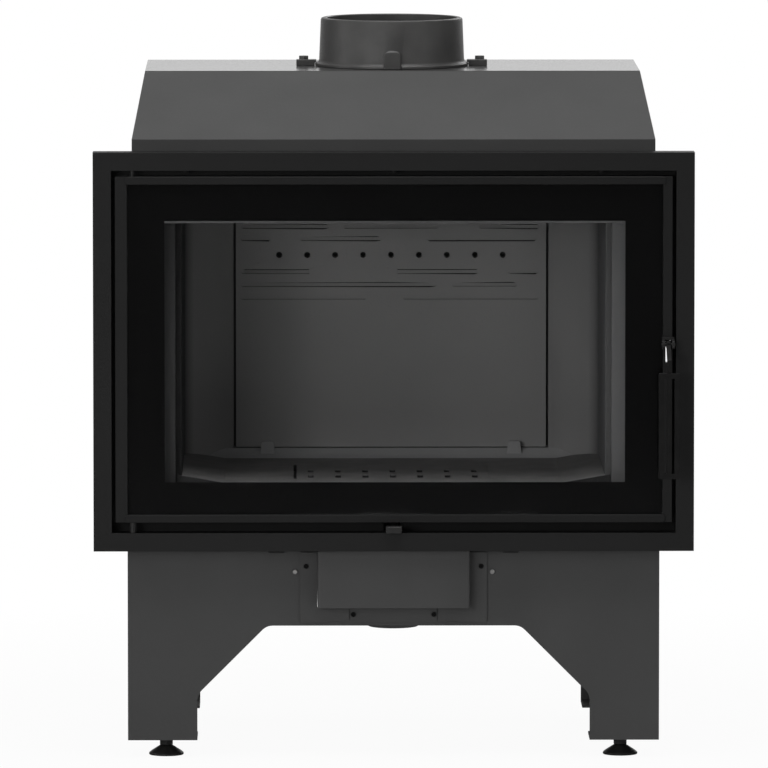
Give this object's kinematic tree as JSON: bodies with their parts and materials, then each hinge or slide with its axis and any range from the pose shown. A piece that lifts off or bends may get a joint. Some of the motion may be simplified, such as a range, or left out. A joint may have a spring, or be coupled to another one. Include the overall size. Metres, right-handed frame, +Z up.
{
  "type": "fireplace insert",
  "caption": "Steel wood-burning fireplace insert on a levelling stand, with hood, flue collar, glazed side-hinged door, lever handle and push-pull air control.",
  "frame": {"origin": "on the floor, under the middle of the box that holds the whole insert", "axes": "+Z up, the door faces -Y, +X to the right of someone who looks at the door"},
  "size_m": [0.724, 0.44, 0.884],
  "materials": {
    "hood_paint": "satin stove paint",
    "frame_paint": "satin stove paint",
    "door_paint": "satin stove paint",
    "collar_paint": "painted casting",
    "stand_paint": "satin stove paint",
    "black_steel": "black oxide",
    "bare_steel": "zinc plated",
    "glass": "ceramic glass with a black printed border",
    "rope": "braided glass fibre",
    "lining": "pressed refractory board",
    "hearth": "raw casting"
  },
  "bodies": {
    "casing": {"firebox_shell": "hood_paint", "door_seat": "frame_paint", "hood": "hood_paint", "flue_collar": "collar_paint", "collar_clamp_left": "collar_paint", "collar_clamp_right": "collar_paint", "front_frame": "frame_paint", "hinge_top": "black_steel", "hinge_bottom": "black_steel", "latch_keeper": "bare_steel", "frame_screw_1": "black_steel", "frame_screw_2": "black_steel", "frame_screw_3": "black_steel", "hearth_base": "hearth", "hearth_grate": "hearth", "back_lining": "lining", "side_lining_left": "lining", "side_lining_right": "lining", "lining_stop_left": "hearth", "lining_stop_right": "hearth", "baffle_board": "lining", "baffle_rail_left": "black_steel", "baffle_rail_right": "black_steel", "air_wash_strip": "frame_paint", "air_duct": "black_steel", "stand_front_panel": "stand_paint", "stand_rear_panel": "stand_paint", "side_apron_left": "stand_paint", "side_apron_right": "stand_paint", "intake_plate": "stand_paint", "intake_box": "stand_paint", "intake_spigot": "stand_paint", "plate_screw_1": "black_steel", "plate_screw_2": "black_steel", "plate_screw_3": "black_steel", "plate_screw_4": "black_steel", "panel_screw_1": "bare_steel", "panel_screw_2": "bare_steel", "foot_nut_front_left": "black_steel", "foot_nut_rear_left": "black_steel", "foot_nut_front_right": "black_steel", "foot_nut_rear_right": "black_steel"},
    "door": {"door_frame": "door_paint", "door_glass": "glass", "door_rope": "rope", "glass_rail_top": "door_paint", "glass_rail_bottom": "door_paint", "handle_bracket": "black_steel", "handle_pin": "black_steel"},
    "handle": {"handle_lever": "black_steel", "handle_grip": "black_steel"},
    "air_control": {"air_knob": "black_steel", "air_rod": "bare_steel", "air_slide": "bare_steel"},
    "foot_fl": {"foot_front_left": "black_steel"},
    "foot_fr": {"foot_front_right": "black_steel"},
    "foot_rl": {"foot_rear_left": "black_steel"},
    "foot_rr": {"foot_rear_right": "black_steel"}
  },
  "joints": [
    {"name": "door_hinge", "type": "hinge", "parent": "casing", "child": "door", "pos_m": [-0.3145, -0.174, 0.498], "axis": [0, 0, -1], "range_deg": [0, 110]},
    {"name": "handle_lift", "type": "hinge", "parent": "door", "child": "handle", "pos_m": [0.3305, -0.188, 0.5045], "axis": [-1, 0, 0], "range_deg": [0, 30]},
    {"name": "air_pull", "type": "slide", "parent": "casing", "child": "air_control", "axis": [0, -1, 0], "range_m": [0, 0.025]},
    {"name": "foot_front_left_level", "type": "slide", "parent": "casing", "child": "foot_fl", "axis": [0, 0, -1], "range_m": [0, 0.02]},
    {"name": "foot_front_right_level", "type": "slide", "parent": "casing", "child": "foot_fr", "axis": [0, 0, -1], "range_m": [0, 0.02]},
    {"name": "foot_rear_left_level", "type": "slide", "parent": "casing", "child": "foot_rl", "axis": [0, 0, -1], "range_m": [0, 0.02]},
    {"name": "foot_rear_right_level", "type": "slide", "parent": "casing", "child": "foot_rr", "axis": [0, 0, -1], "range_m": [0, 0.02]}
  ]
}
